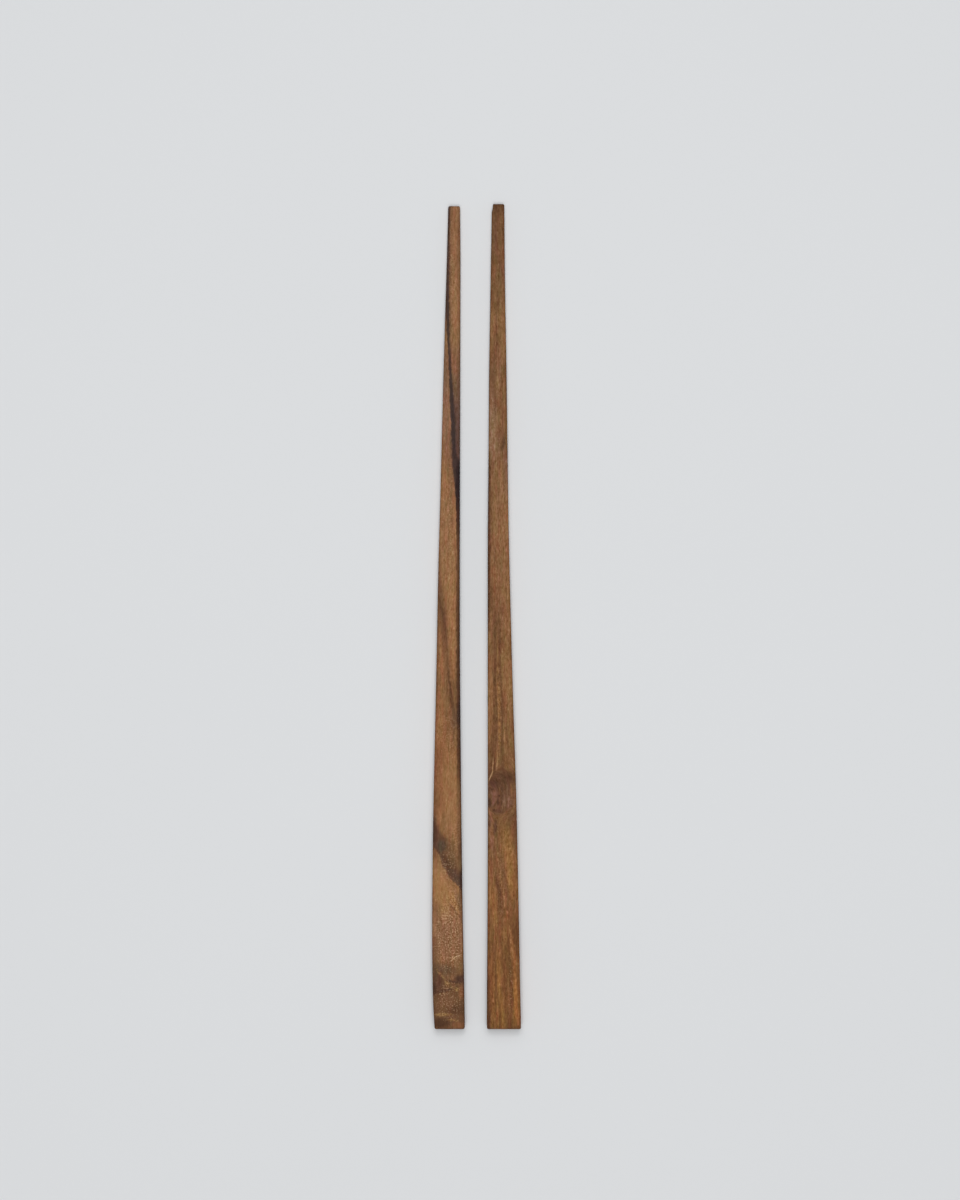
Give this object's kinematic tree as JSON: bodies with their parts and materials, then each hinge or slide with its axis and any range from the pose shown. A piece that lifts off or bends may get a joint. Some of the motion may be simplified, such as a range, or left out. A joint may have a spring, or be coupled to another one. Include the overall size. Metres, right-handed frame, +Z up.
{
  "type": "pair of wooden chopsticks",
  "caption": "Slender square wooden chopsticks that taper to blunt tips, with softly sanded edges and an oiled brown finish, laid side by side; utensils for picking up food.",
  "frame": {"origin": "on the table, midway between the outer sides of the two sticks and midway between the butts and the longer stick's tip", "axes": "+Y along the sticks from the butts to the tips, +X across from the veined stick to the straight-grained stick, +Z up from the table"},
  "size_m": [0.0258, 0.24, 0.009],
  "materials": {
    "veined_wood": "satin",
    "straight_grained_wood": "satin"
  },
  "bodies": {
    "root": {"chopstick_left": "veined_wood", "chopstick_right": "straight_grained_wood"}
  },
  "joints": []
}
